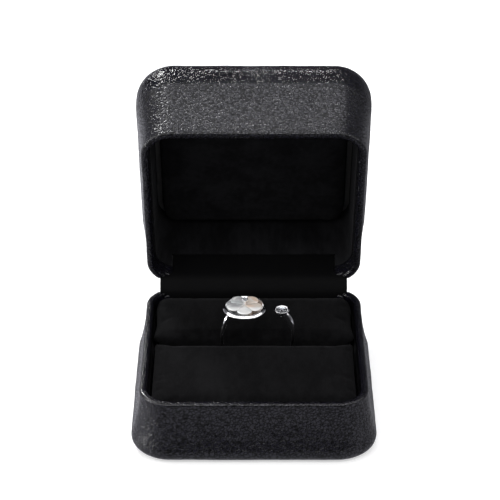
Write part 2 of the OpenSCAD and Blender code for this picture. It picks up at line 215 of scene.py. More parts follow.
def arc(centre, r, start, stop, steps=12):
    """Points of an arc between two angles in degrees."""
    angle = np.radians(np.linspace(start, stop, steps + 1))
    return np.stack([centre[0] + r * np.cos(angle), centre[1] + r * np.sin(angle)], -1)


def lid_open(points):
    """Moves points from the lid's own frame, closed face down, to where the open lid stands."""
    p = np.array(points, float)
    p[:, 2] = BASE_H + SHUT_GAP + LID_H - p[:, 2]
    y, z = p[:, 1] - HINGE_Y, p[:, 2] - HINGE_Z
    c, s = math.cos(OPEN_ANGLE), math.sin(OPEN_ANGLE)
    p[:, 1] = HINGE_Y + y * c + z * s
    p[:, 2] = HINGE_Z - y * s + z * c
    return p


def lid_own(points):
    """The inverse of lid_open."""
    p = np.array(points, float)
    y, z = p[:, 1] - HINGE_Y, p[:, 2] - HINGE_Z
    c, s = math.cos(OPEN_ANGLE), math.sin(OPEN_ANGLE)
    p[:, 1] = HINGE_Y + y * c - z * s
    p[:, 2] = BASE_H + SHUT_GAP + LID_H - (HINGE_Z + y * s + z * c)
    return p


# ---- Leatherette ----

def wall_line(h, z0, edge, inset, steps=60):
    """Outside of a wall, or a line inset from it, from just below the rim to the closed face, as (outwards,
    up)."""
    drop = h - BEAD_R - edge.up
    t = np.linspace(1, 0, steps)
    flare = np.stack([FLARE * (1 - t) ** FLARE_POWER - inset, edge.up + drop * t], -1)
    a = np.linspace(0, math.pi / 2, 30)[1:]
    z = edge.up - (edge.up - z0 - inset) * np.sin(a)
    slope = FLARE_POWER * FLARE / drop
    roll = np.stack([FLARE + slope * (edge.up - z) - edge.inwards + (edge.inwards - inset) * np.cos(a), z],
                    -1)
    line = np.concatenate([flare, roll])
    if inset == 0:
        line[:, 0] += np.interp(line[:, 1], edge.heights, edge.offsets)
    return line


def rim_stations():
    """Centres and outward directions of points round the rim, from one end of the rear wall."""
    half = RIM / 2 - CORNER_R
    run = np.linspace(half, -half, round(2 * half / SKIN_STEP) + 1)
    turn = np.linspace(0, math.pi / 2, round(math.pi / 2 * (CORNER_R + 1) / SKIN_STEP) + 1)[1:-1]
    centre, way = [], []
    for side in range(4):
        a = math.pi / 2 * (side + 1)
        d = np.array([math.cos(a), math.sin(a)])
        across = np.array([-d[1], d[0]])
        for s in run:
            centre.append(half * d - s * across)
            way.append(d)
        for t in turn:
            centre.append(half * d + half * across)
            way.append(d * math.cos(t) + across * math.sin(t))
    return np.array(centre), np.array(way)


def skin_section(h, z0, edge, end):
    """Section of the leatherette, as (outwards, up): its outer side from inside the rim to its end under the
    closed face, in two parts, and its inner side back."""
    wall = wall_line(h, z0, edge, 0)
    rim = np.concatenate([
        [[-WALL_T, h - TURN_IN]], arc((-WALL_T + BEAD_R, h - BEAD_R), BEAD_R, 180, 90),
        arc((-BEAD_R, h - BEAD_R), BEAD_R, 90, 0), wall[:1]])
    back = np.concatenate([
        [[end, z0 + SKIN_T]], wall_line(h, z0, edge, SKIN_T, 8)[::-1],
        [[-BEAD_R, h - SKIN_T], [-WALL_T + BEAD_R, h - SKIN_T], [-WALL_T + SKIN_T, h - BEAD_R],
         [-WALL_T + SKIN_T, h - TURN_IN]]])
    return along(rim, RIM_STEP), along(np.concatenate([wall[1:], [[end, z0]]]), SKIN_STEP), back


def placed(centre, way, outwards, z):
    """The points of a section at every station round the rim."""
    reach = CORNER_R + outwards
    return np.stack([centre[:, None, 0] + reach * way[:, None, 0],
                     centre[:, None, 1] + reach * way[:, None, 1], z], -1).reshape(-1, 3)


def leather_skin(h, z0, edge, closed, seed):
    """The leatherette of one half: turned in at the rim, down the flare and under the closed face."""
    centre, way = rim_stations()
    rim_part, wall_part, back = skin_section(h, z0, edge, -CORNER_R if closed else -FOOT_IN)
    front = np.concatenate([rim_part, wall_part])
    section = np.concatenate([front, back])
    n, m = len(centre), len(section)
    u = np.tile(section[:, 0], (n, 1))
    z = np.tile(section[:, 1], (n, 1))
    x_out = centre[:, 0] + CORNER_R * way[:, 0]
    rear = centre[:, 1] + CORNER_R * way[:, 1] > 20
    # The rim dips along the hinge, and the leatherette dips with it.
    dip = RIM_DIP * ease((STRIP_W / 2 + 0.5 - np.abs(x_out)) / 0.7) * rear
    z -= dip[:, None] * ease((z - (h - TURN_IN - 0.5)) / (TURN_IN - BEAD_R))
    # It is laid over itself in a seam at the middle of the rear wall.
    lap = ease((x_out + 0.3) / 0.4) * ease((4.5 - x_out) / 4) * rear * (way[:, 1] > 0.99)
    # The outside is a little uneven. That starts at the rim's edge and fades out under the foot.
    outer = np.zeros((n, m))
    outer[:, len(rim_part) - 6:len(front)] = 1
    outer *= ease((u + FOOT_IN) / 3) if not closed else 1
    points = placed(centre, way, u, z)
    swell = (0.05 * ripple(points, 9, seed) + 0.02 * ripple(points, 2.4, seed + 1)).reshape(n, m) * outer
    swell += SEAM_STEP * lap[:, None] * outer * ease((h - 1.2 - z) / 0.8) * ease((z - z0 - 3) / 4)
    # Small pleats where it is gathered round the corners, inside the rim and under the foot.
    turn = np.arctan2(way[:, 1], way[:, 0])
    corner = np.sin(2 * turn) ** 2 * (np.abs(way[:, 0] * way[:, 1]) > 1e-6)
    fold = np.abs(np.sin(turn * 22 + 2 * np.sin(turn * 5))) ** 3
    deep = np.zeros((n, m))
    inside, level = u[:, :len(front)] < -WALL_T + 0.1, z[:, :len(front)]
    deep[:, :len(front)] = ease((h - 1.6 - level) / 2) * inside * (level > h - TURN_IN - 1)
    under = np.zeros((n, m))
    if not closed:
        under[:, :len(front)] = ease((-2.2 - u[:, :len(front)]) / 2) * (level < z0 + 0.2)
    slope = np.gradient(section[:, 0]), np.gradient(section[:, 1])
    size = np.hypot(*slope) + 1e-9
    out_u, out_z = -slope[1] / size, slope[0] / size
    push = swell + PLEAT * (corner * fold)[:, None] * (deep + under)
    points = placed(centre, way, u + push * out_u, z + push * out_z)
    faces = grid_faces(n, m, True, True)
    if closed:
        # The closed face: the loop of points nearest its middle is a square, and a grid fills it.
        gap = len(front) - 1
        faces = [f for f in faces if f[0] % m != gap]
        half = RIM / 2 - CORNER_R
        per = round(2 * half / SKIN_STEP)
        line = np.linspace(-half, half, per + 1)
        gx, gy = np.meshgrid(line, line, indexing="ij")
        flat = np.stack([gx.ravel(), gy.ravel(), np.full(gx.size, z0)], -1)
        away = ease((half - np.maximum(np.abs(gx), np.abs(gy)).ravel()) / 2)
        flat[:, 2] -= 0.05 * ripple(flat, 9, seed) * away
        faces += [tuple(len(points) + i for i in f) for f in grid_faces(per + 1, per + 1)]
        points = np.concatenate([points, flat])
        # The inner sheet's hole is filled by one face on the loop's own points.
        loop = [i * m + gap + 1 for i in range(n)]
        faces.append(tuple(loop))
    return points, faces


# ---- Hinge strip ----

def opened(p):
    """A point (y, z) about the hinge's axis on the shut lid, where it is with the lid open."""
    c, s = math.cos(OPEN_ANGLE), math.sin(OPEN_ANGLE)
    return p[0] * c + p[1] * s, -p[0] * s + p[1] * c


def strip_mesh():
    """The satin strip: up the base's rear wall, over the hinge in a soft bend, and into the lid."""
    corners = [(STRIP_Y, -STRIP_TAIL), (STRIP_Y, -0.6), opened((STRIP_Y, 0.6)), opened((STRIP_Y, STRIP_TAIL))]
    knots = along(corners, 0.3)
    # The two corners of the path are rounded off.
    for _ in range(26):
        knots[1:-1] += 0.5 * ((knots[:-2] + knots[2:]) / 2 - knots[1:-1])
    run = np.concatenate([[0], np.cumsum(np.linalg.norm(np.diff(knots, axis=0), axis=1))])
    side = np.gradient(knots, axis=0)
    side = np.stack([-side[:, 1], side[:, 0]], -1) / np.linalg.norm(side, axis=1)[:, None]
    # It is full width over the notch and narrower in the tails.
    from_middle = np.abs(run - run[-1] / 2)
    half = (STRIP_W - (STRIP_W - STRIP_TAIL_W) * ease((from_middle - 3.1) / 0.5)) / 2
    across = np.linspace(-1, 1, 134)
    x = half[:, None] * across[None, :]
    y = np.tile(knots[:, :1], (1, len(across)))
    z = np.tile(knots[:, 1:], (1, len(across)))
    flat = np.stack([x, np.tile(run[:, None], (1, len(across))), 0 * x], -1)
    pucker = 0.06 * ripple(flat.reshape(-1, 3) * [1, 0.35, 1], 7, 5).reshape(x.shape)
    pucker += 0.05 * np.exp(-((np.abs(x) - half[:, None]) / 0.8) ** 2)
    sheets = []
    for lift in (STRIP_T / 2, -STRIP_T / 2):
        rise = lift + pucker
        sheets.append(np.stack([x, HINGE_Y + y + rise * side[:, None, 0],
                                HINGE_Z + z + rise * side[:, None, 1]], -1))
    rows, columns = x.shape
    points = np.concatenate([s.reshape(-1, 3) for s in sheets])
    faces = closed_sheet(rows, columns)
    uv = np.concatenate([flat[:, :, :2].reshape(-1, 2)] * 2) * MM
    return points, faces, uv, run[-1]


def closed_sheet(rows, columns):
    """Faces of two grids of points, one behind the other, joined round their edges."""
    top = grid_faces(rows, columns)
    under = rows * columns
    faces = top + [tuple(under + i for i in reversed(f)) for f in top]
    edge = list(range(columns))
    edge += [r * columns + columns - 1 for r in range(1, rows)]
    edge += [(rows - 1) * columns + c for c in range(columns - 2, -1, -1)]
    edge += [r * columns for r in range(rows - 2, 0, -1)]
    for a, b in zip(edge, edge[1:] + edge[:1]):
        faces.append((a, b, under + b, under + a))
    return faces


# ---- Ring ----

def band_mesh():
    """Open band of a D section, thicker and a little narrower at its ends, with softened edges."""
    start, stop = math.radians(90 + HEAD_ANGLE), math.radians(450 - TAIL_ANGLE)
    angle = np.linspace(start, stop, 260)
    end = np.minimum(angle - start, stop - angle)
    width = BAND_W / 2 - 0.05 * ease(1 - end / 0.9)
    thick = BAND_T * (1 + ease(1 - end))
    turn = np.linspace(0, 2 * math.pi, 40, endpoint=False)
    # A superellipse, flatter on the finger's side.
    cx = np.sign(np.cos(turn)) * np.abs(np.cos(turn)) ** np.where(np.cos(turn) > 0, 0.95, 0.5)
    cy = np.sign(np.sin(turn)) * np.abs(np.sin(turn)) ** 0.95
    r = RING_R - BAND_T + thick[:, None] * (1 + cx[None, :]) / 2
    y = SLIT_Y + cy[None, :] * width[:, None]
    points = np.stack([RING_X + r * np.cos(angle)[:, None], y + 0 * r,
                       RING_Z + r * np.sin(angle)[:, None]], -1)
    n, m = len(angle), len(turn)
    # The head end is filed flat under the dish.
    filed = (points[:, :, 0] < RING_X) & (points[:, :, 2] > DISH_Z)
    points[:, :, 2] = np.where(filed, DISH_Z + 0.04, points[:, :, 2])
    faces = grid_faces(n, m, False, True)
    faces += [tuple(range(m)), tuple((n - 1) * m + i for i in reversed(range(m)))]
    return points.reshape(-1, 3), faces


def lobes(angle):
    """From 0 between two petals to 1 along the middle of one. One of the five points to the front."""
    return np.abs(np.cos(2.5 * (angle + math.pi / 2)))


def dish_mesh():
    """Bowl with a rolled lip that the petals sit in."""
    outside = [(0.0, 0.0), (0.35, 0.0), (0.6, 0.03), (0.78, 0.14), (0.9, 0.34), (0.97, 0.58), (1.0, 0.78)]
    lip = [(0.985, 1.0), (0.95, 1.25), (0.915, 1.47), (0.895, 1.5), (0.88, 1.44)]
    inside = [(0.86, 1.25), (0.82, 0.98), (0.74, 0.74), (0.6, 0.58), (0.35, 0.52), (0.0, 0.5)]
    line = smoothed(outside + lip + inside, 5) * (DISH_R, 1.0)
    return turned(line, (BLOSSOM_X, SLIT_Y, DISH_Z), 128)


def smoothed(points, times):
    """A polyline with each piece cut in parts and its corners eased, its two ends kept."""
    points = np.asarray(points, float)
    at = np.linspace(0, len(points) - 1, times * (len(points) - 1) + 1)
    fine = np.stack([np.interp(at, np.arange(len(points)), points[:, i]) for i in range(2)], -1)
    for _ in range(2 * times):
        fine[1:-1] += 0.5 * ((fine[:-2] + fine[2:]) / 2 - fine[1:-1])
    return fine


def petals_mesh():
    """Five petals in one crowned slab, with a crease between each two and a foot in the dish."""
    steps, sides = 34, 240
    out = np.sin(np.linspace(0, math.pi / 2, steps))
    top = np.stack([out, PETAL_T - 0.28 * (1 - np.sqrt(np.clip(1 - out ** 10, 0, 1)))], -1)
    under = np.stack([out[::-1][1:], 0.32 * (1 - np.sqrt(np.clip(1 - out[::-1][1:] ** 10, 0, 1)))], -1)
    foot = [(0.42, 0.0), (0.42, -0.9), (0.0, -0.9)]
    line = np.concatenate([top, under[under[:, 0] > 0.45], foot])
    angle = np.linspace(0, 2 * math.pi, sides, endpoint=False)
    away = lobes(angle)[:, None]
    radius = (PETAL_VALLEY_R + (PETAL_TIP_R - PETAL_VALLEY_R) * away ** 0.6) * line[None, :, 0]
    points = np.stack([BLOSSOM_X + radius * np.cos(angle)[:, None], SLIT_Y + radius * np.sin(angle)[:, None],
                       np.tile(line[:, 1] + PETAL_Z, (sides, 1))], -1)
    n_top = len(top)
    share = line[:n_top, 0][None, :]
    crease = np.exp(-(away * share * 5 / 1.1) ** 2) * ease(share / 0.35)
    cup = 0.10 * share ** 2 * away - 0.2 * crease
    points[:, :n_top, 2] += cup
    return points.reshape(-1, 3), grid_faces(len(angle), len(line), True, True)


def bezel_mesh():
    """Waisted collet that holds the centre stone above the petals."""
    line = smoothed([(0, 0), (0.62, 0), (0.55, 0.25), (0.5, 0.6), (0.75, 0.9), (0.95, 1.15), (0.97, 1.6),
                     (0.9, 1.85), (0.76, 1.86), (0.7, 1.7), (0.62, 1.5), (0, 1.45)], 4)
    return turned(line, (BLOSSOM_X, SLIT_Y, PETAL_TOP - 0.02))


def cup_mesh():
    """Cup that holds the side stone on the band's other end."""
    line = smoothed([(0, -2.3), (0.75, -2.3), (0.85, -1.9), (1.0, -1.5), (1.55, -1.15), (2.0, -0.7),
                     (2.17, -0.3), (2.15, -0.05), (2.0, 0.02), (1.75, -0.08), (1.66, -0.35), (1.35, -0.75),
                     (0.8, -0.95), (0, -1.0)], 4)
    return turned(line, (SIDE_X, SLIT_Y, SIDE_TOP))


def cut_stone(centre, r, up, down):
    """Brilliant cut stone: a table, a crown, a girdle and a pavilion."""
    points = []
    x, y, middle = centre
    for count, radius, z, shift in ((8, 0.56, up, 0.5), (8, 0.80, up * 0.62, 0), (16, 1.0, 0.03, 0),
                                    (16, 1.0, -0.03, 0), (8, 0.42, -down * 0.62, 0.5), (1, 0.0, -down, 0)):
        for i in range(count):
            a = 2 * math.pi * (i + shift) / count
            points.append((x + r * radius * math.cos(a), y + r * radius * math.sin(a), middle + z))
    bm = bmesh.new()
    for p in points:
        bm.verts.new([c * MM for c in p])
    bmesh.ops.convex_hull(bm, input=bm.verts)
    bmesh.ops.dissolve_limit(bm, angle_limit=0.01, verts=bm.verts, edges=bm.edges)
    mesh = bpy.data.meshes.new("stone")
    bm.to_mesh(mesh)
    bm.free()
    return np.array([v.co for v in mesh.vertices]) / MM, [tuple(f.vertices) for f in mesh.polygons]


# ---- Materials ----

def shader(name, **sockets):
    """A new material with a Principled shader, and that shader's sockets set."""
    material = bpy.data.materials.new(name)
    material.use_nodes = True
    bsdf = material.node_tree.nodes["Principled BSDF"]
    for socket, value in sockets.items():
        bsdf.inputs[socket.replace("_", " ")].default_value = value
    return material, material.node_tree, bsdf


def fed(tree, made, values):
    """Sets or links a node's inputs, by name or number."""
    for key, value in values.items():
        if isinstance(value, bpy.types.NodeSocket):
            tree.links.new(value, made.inputs[key])
        else:
            made.inputs[key].default_value = value
    return made


def node(tree, kind, values=None, **settings):
    """A node of a tree, with its properties set, and its inputs set or linked."""
    made = tree.nodes.new(kind)
    for key, value in settings.items():
        setattr(made, key, value)
    return fed(tree, made, values or {})


def math_node(tree, operation, a, b=0.0, c=0.0):
    """The result of an operation on two or three values."""
    return node(tree, "ShaderNodeMath", {0: a, 1: b, 2: c}, operation=operation).outputs[0]


def ranged(tree, value, low, high, to_low=0.0, to_high=1.0, smooth=True):
    """A value's place between low and high, as one between to_low and to_high."""
    made = node(tree, "ShaderNodeMapRange", {"Value": value, "From Min": low, "From Max": high,
                                             "To Min": to_low, "To Max": to_high},
                interpolation_type="SMOOTHSTEP" if smooth else "LINEAR")
    return made.outputs[0]


def mixed(tree, share, a, b):
    """Colour a where share is 0 and b where it is 1."""
    return node(tree, "ShaderNodeMix", {0: share, 6: a, 7: b}, data_type="RGBA").outputs[2]


def group(name, inputs, outputs):
    """A new shader node group: its tree, its input sockets by name, and its output node."""
    tree = bpy.data.node_groups.new(name, "ShaderNodeTree")
    for label, kind, value in inputs:
        socket = tree.interface.new_socket(label, in_out="INPUT", socket_type=kind)
        if value is not None:
            socket.default_value = value
    for label, kind in outputs:
        tree.interface.new_socket(label, in_out="OUTPUT", socket_type=kind)
    source = tree.nodes.new("NodeGroupInput")
    return tree, source.outputs, tree.nodes.new("NodeGroupOutput")


def place_group(tree, made, values):
    """The outputs of a group's node in a tree."""
    placed = tree.nodes.new("ShaderNodeGroup")
    placed.node_tree = made
    return fed(tree, placed, values).outputs


def make_pebble_grain():
    """Round pebbles with creases between them: how high a point is, and how deep in a crease."""
    tree, given, out = group(
        "pebble_grain",
        [("Vector", "NodeSocketVector", None), ("Pitch", "NodeSocketFloat", PEBBLE_PITCH * MM)],
        [("Height", "NodeSocketFloat"), ("Crease", "NodeSocketFloat")])
    scale = math_node(tree, "DIVIDE", 1.0, given["Pitch"])
    drawn = node(tree, "ShaderNodeMapping", {"Vector": given["Vector"], "Rotation": (0.35, -0.45, 0.4),
                                             "Scale": (1.28, 0.96, 0.90)}, vector_type="TEXTURE").outputs[0]
    warp = node(tree, "ShaderNodeTexNoise", {"Vector": given["Vector"], "Detail": 1.0})
    tree.links.new(math_node(tree, "MULTIPLY", scale, 0.7), warp.inputs["Scale"])
    shift = node(tree, "ShaderNodeVectorMath", {0: warp.outputs["Color"], 1: (0.5, 0.5, 0.5)},
                 operation="SUBTRACT")
    size = math_node(tree, "MULTIPLY", given["Pitch"], 1.2)
    scaled = node(tree, "ShaderNodeVectorMath", {0: shift.outputs[0], "Scale": size}, operation="SCALE")
    moved = node(tree, "ShaderNodeVectorMath", {0: drawn, 1: scaled.outputs[0]}, operation="ADD")
    cell = node(tree, "ShaderNodeTexVoronoi", {"Vector": moved.outputs[0], "Scale": scale}, feature="F1")
    edge = node(tree, "ShaderNodeTexVoronoi", {"Vector": moved.outputs[0], "Scale": scale},
                feature="DISTANCE_TO_EDGE")
    speck = node(tree, "ShaderNodeTexNoise", {"Vector": given["Vector"], "Detail": 2.0,
                                              "Scale": math_node(tree, "MULTIPLY", scale, 2.6)})
    patch = node(tree, "ShaderNodeTexNoise", {"Vector": given["Vector"], "Detail": 1.0,
                                              "Scale": math_node(tree, "MULTIPLY", scale, 0.25)})
    out_from_top = ranged(tree, cell.outputs["Distance"], 0.0, 0.8, smooth=False)
    dome = math_node(tree, "SUBTRACT", 1.0, math_node(tree, "POWER", out_from_top, 3.0))
    crease = math_node(tree, "SUBTRACT", 1.0, ranged(tree, edge.outputs["Distance"], 0.02, 0.24))
    tall = ranged(tree, patch.outputs["Fac"], 0.3, 0.7, 0.75, 1.1, smooth=False)
    height = math_node(tree, "MULTIPLY", dome, tall)
    height = math_node(tree, "MULTIPLY_ADD", crease, -0.2, height)
    height = math_node(tree, "MULTIPLY_ADD", speck.outputs["Fac"], 0.02, height)
    tree.links.new(height, out.inputs["Height"])
    tree.links.new(crease, out.inputs["Crease"])
    return tree


def make_pile():
    """Short velvet pile: how a patch of nap lies, and its fine tufts. Streaks run along Y."""
    tree, given, out = group(
        "velvet_pile", [("Vector", "NodeSocketVector", None), ("Streak", "NodeSocketFloat", 0.2)],
        [("Nap", "NodeSocketFloat"), ("Tuft", "NodeSocketFloat")])
    stretch = node(tree, "ShaderNodeMapping", {"Vector": given["Vector"]})
    tree.links.new(node(tree, "ShaderNodeCombineXYZ", {0: 1.0, 1: given["Streak"], 2: 1.0}).outputs[0],
                   stretch.inputs["Scale"])
    wide = node(tree, "ShaderNodeTexNoise", {"Vector": stretch.outputs[0], "Scale": 160.0, "Detail": 2.0})
    close = node(tree, "ShaderNodeTexNoise", {"Vector": stretch.outputs[0], "Scale": 700.0, "Detail": 2.0})
    tuft = node(tree, "ShaderNodeTexNoise", {"Vector": given["Vector"], "Scale": 5200.0, "Detail": 2.0})
    nap = math_node(tree, "MULTIPLY_ADD", wide.outputs["Fac"], 0.6,
                    math_node(tree, "MULTIPLY", close.outputs["Fac"], 0.4))
    tree.links.new(nap, out.inputs["Nap"])
    tree.links.new(tuft.outputs["Fac"], out.inputs["Tuft"])
    return tree


def make_brushed():
    """Fine scratches along X, for drawn or brushed metal."""
    tree, given, out = group(
        "drawn_lines", [("Vector", "NodeSocketVector", None)],
        [("Line", "NodeSocketFloat"), ("Smear", "NodeSocketFloat")])
    stretch = node(tree, "ShaderNodeMapping", {"Vector": given["Vector"], "Scale": (0.05, 1.0, 1.0)})
    line = node(tree, "ShaderNodeTexNoise", {"Vector": stretch.outputs[0], "Scale": 9000.0, "Detail": 2.0})
    smear = node(tree, "ShaderNodeTexNoise", {"Vector": given["Vector"], "Scale": 500.0, "Detail": 3.0})
    tree.links.new(line.outputs["Fac"], out.inputs["Line"])
    tree.links.new(smear.outputs["Fac"], out.inputs["Smear"])
    return tree


PEBBLES = make_pebble_grain()
PILE = make_pile()
DRAWN = make_brushed()


def object_vector(tree):
    """A point's place in its own object, in metres."""
    return node(tree, "ShaderNodeTexCoord").outputs["Object"]


def bump(tree, bsdf, height, distance):
    """Bumps a shader by a height that is distance metres deep where it is 1."""
    made = node(tree, "ShaderNodeBump", {"Height": height, "Distance": distance, "Strength": 1.0})
    tree.links.new(made.outputs[0], bsdf.inputs["Normal"])


def leatherette(name, roll=None):
    """Black pebbled leatherette. roll is the foot and the upright of a lid whose edge has lost its coat."""
    material, tree, bsdf = shader(name, Specular_IOR_Level=0.28, Coat_IOR=1.5, Coat_Roughness=0.19)
    grain = place_group(tree, PEBBLES, {"Vector": object_vector(tree), "Pitch": PEBBLE_PITCH * MM})
    # The creases are painted darker than the pebbles' tops: painted shade where little light gets into them.
    colour = mixed(tree, grain["Crease"], (0.0060, 0.0056, 0.0110, 1), (0.0015, 0.0015, 0.0017, 1))
    tree.links.new(colour, bsdf.inputs["Base Color"])
    rough = ranged(tree, grain["Crease"], 0.0, 1.0, 0.12, 0.25)
    # The top coat lies flat on the pebbles and leaves the creases.
    flat = ranged(tree, grain["Crease"], 0.0, 1.0, 0.9, 0.1)
    if roll is not None:
        # Round the lid's edge the coat is worn off and the bare pebbles glint.
        foot, up = roll
        along_up = node(tree, "ShaderNodeVectorMath", {0: object_vector(tree), 1: tuple(up)},
                        operation="DOT_PRODUCT").outputs["Value"]
        height = math_node(tree, "SUBTRACT", along_up, float(foot @ up))
        starts, bare, still_bare, whole = (h * MM for h in WORN)
        worn = math_node(tree, "MULTIPLY", ranged(tree, height, starts, bare),
                         ranged(tree, height, whole, still_bare))
        flat = math_node(tree, "MULTIPLY", flat, math_node(tree, "SUBTRACT", 1.0, worn))
        rough = math_node(tree, "MULTIPLY", rough, ranged(tree, worn, 0.0, 1.0, 1.5, 0.5))
    tree.links.new(rough, bsdf.inputs["Roughness"])
    tree.links.new(flat, bsdf.inputs["Coat Weight"])
    bump(tree, bsdf, grain["Height"], 0.00011)
    return material


def velvet(name, shade, streak=0.12):
    """Short black pile that takes light a little unevenly."""
    material, tree, bsdf = shader(name, Roughness=0.95, Sheen_Weight=0.055, Sheen_Roughness=0.6,
                                  Sheen_Tint=(0.5, 0.5, 0.52, 1), Specular_IOR_Level=0.0)
    pile = place_group(tree, PILE, {"Vector": object_vector(tree), "Streak": streak})
    nap = ranged(tree, pile["Nap"], 0.34, 0.66)
    dark = tuple(0.65 * c for c in shade) + (1,)
    light = tuple(1.45 * c for c in shade) + (1,)
    colour = mixed(tree, nap, dark, light)
    tree.links.new(colour, bsdf.inputs["Base Color"])
    height = math_node(tree, "MULTIPLY_ADD", nap, 1.2, pile["Tuft"])
    bump(tree, bsdf, height, 0.00008)
    return material


def satin():
    """Close black weave with a dull shine."""
    material, tree, bsdf = shader("black_satin", Roughness=0.6, Sheen_Weight=0.02, Sheen_Roughness=0.3,
                                  Specular_IOR_Level=0.05)
    vector = object_vector(tree)
    threads = node(tree, "ShaderNodeTexWave", {"Vector": vector, "Scale": 1100.0, "Distortion": 1.2,
                                               "Detail": 2.0, "Detail Scale": 2.0}, wave_type="BANDS",
                   bands_direction="X")
    pile = place_group(tree, PILE, {"Vector": vector, "Streak": 0.3})
    colour = mixed(tree, pile["Nap"], (0.0018, 0.0018, 0.0020, 1), (0.0036, 0.0036, 0.0039, 1))
    tree.links.new(colour, bsdf.inputs["Base Color"])
    bump(tree, bsdf, threads.outputs["Fac"], 0.00002)
    return material


def steel():
    """Blackened steel with drawn lines."""
    material, tree, bsdf = shader("blackened_steel", Metallic=1.0)
    lines = place_group(tree, DRAWN, {"Vector": object_vector(tree)})
    colour = mixed(tree, lines["Smear"], (0.07, 0.07, 0.075, 1), (0.16, 0.16, 0.165, 1))
    tree.links.new(colour, bsdf.inputs["Base Color"])
    tree.links.new(ranged(tree, lines["Line"], 0.2, 0.8, 0.28, 0.45), bsdf.inputs["Roughness"])
    bump(tree, bsdf, lines["Line"], 0.000004)
    return material


def silver():
    """Polished white metal, a little smeared."""
    material, tree, bsdf = shader("polished_silver", Metallic=1.0, Base_Color=(0.95, 0.95, 0.96, 1))
    lines = place_group(tree, DRAWN, {"Vector": object_vector(tree)})
    tree.links.new(ranged(tree, lines["Smear"], 0.3, 0.7, 0.08, 0.16), bsdf.inputs["Roughness"])
    bump(tree, bsdf, lines["Smear"], 0.000012)
    return material


def pearl():
    """Clouded mother of pearl: grey at the left, warm at the right and pale at the front."""
    material, tree, bsdf = shader("mother_of_pearl", Roughness=0.22, Coat_Weight=0.5, Coat_Roughness=0.06,
                                  Sheen_Weight=0.1)
    vector = object_vector(tree)
    cloud = node(tree, "ShaderNodeTexNoise",
                 {"Vector": vector, "Scale": 260.0, "Detail": 4.0, "Distortion": 1.5})
    band = node(tree, "ShaderNodeTexWave",
                {"Vector": vector, "Scale": 150.0, "Distortion": 6.0, "Detail": 3.0, "Detail Scale": 1.5},
                wave_type="BANDS", bands_direction="DIAGONAL")
    side = node(tree, "ShaderNodeSeparateXYZ", {0: vector})
    warm = ranged(tree, side.outputs[0], -0.0040, -0.0010)
    base = mixed(tree, warm, (0.42, 0.42, 0.43, 1), (0.80, 0.62, 0.49, 1))
    near = ranged(tree, side.outputs[1], 0.0034, 0.0018)
    base = mixed(tree, near, base, (0.93, 0.92, 0.90, 1))
    pale = mixed(tree, ranged(tree, cloud.outputs["Fac"], 0.4, 0.75), base, (0.90, 0.89, 0.88, 1))
    tint = mixed(tree, ranged(tree, band.outputs["Fac"], 0.2, 0.9, 0.0, 0.25), pale, (0.70, 0.80, 0.78, 1))
    tree.links.new(tint, bsdf.inputs["Base Color"])
    bump(tree, bsdf, cloud.outputs["Fac"], 0.00003)
    return material


def crystal():
    """Clear cut stone."""
    return shader("clear_crystal", Base_Color=(0.95, 0.97, 1.0, 1), Roughness=0.0, IOR=1.9,
                  Transmission_Weight=1.0)[0]


def plain(name, colour, rough, grain_scale, grain_depth):
    """Moulded plastic or board: a soft mottle and a fine bump."""
    material, tree, bsdf = shader(name)
    mottle = node(tree, "ShaderNodeTexNoise",
                  {"Vector": object_vector(tree), "Scale": grain_scale, "Detail": 4.0})
    low = tuple(0.8 * c for c in colour) + (1,)
    high = tuple(1.15 * c for c in colour) + (1,)
    tree.links.new(mixed(tree, mottle.outputs["Fac"], low, high), bsdf.inputs["Base Color"])
    tree.links.new(ranged(tree, mottle.outputs["Fac"], 0.3, 0.7, rough - 0.06, rough + 0.06),
                   bsdf.inputs["Roughness"])
    bump(tree, bsdf, mottle.outputs["Fac"], grain_depth)
    return material


LEATHER = leatherette("black_leatherette")
lid_foot, above_foot = lid_open([[0, 0, 0], [0, 0, 1]])
LID_LEATHER = leatherette("lid_leatherette", (lid_foot * MM, above_foot - lid_foot))
CUSHION_VELVET = velvet("cushion_velvet", (0.0038, 0.0038, 0.0040), 0.4)
LINING_VELVET = velvet("lining_velvet", (0.0070, 0.0070, 0.0078))
SATIN = satin()
STEEL = steel()
SILVER = silver()
PEARL = pearl()
CRYSTAL = crystal()
SHELL_PLASTIC = plain("shell_plastic", (0.02, 0.02, 0.021), rough=0.5, grain_scale=900, grain_depth=0.00001)
PANEL_CARD = plain("panel_card", (0.012, 0.012, 0.0125), rough=0.6, grain_scale=2500, grain_depth=0.00004)
GREY_CARD = plain("grey_card", (0.10, 0.10, 0.10), rough=0.85, grain_scale=1500, grain_depth=0.00003)


def wear(obj, material):
    """Gives an object its only material."""
    obj.data.materials.clear()
    obj.data.materials.append(material)
    return obj


# ---- Soft pieces ----

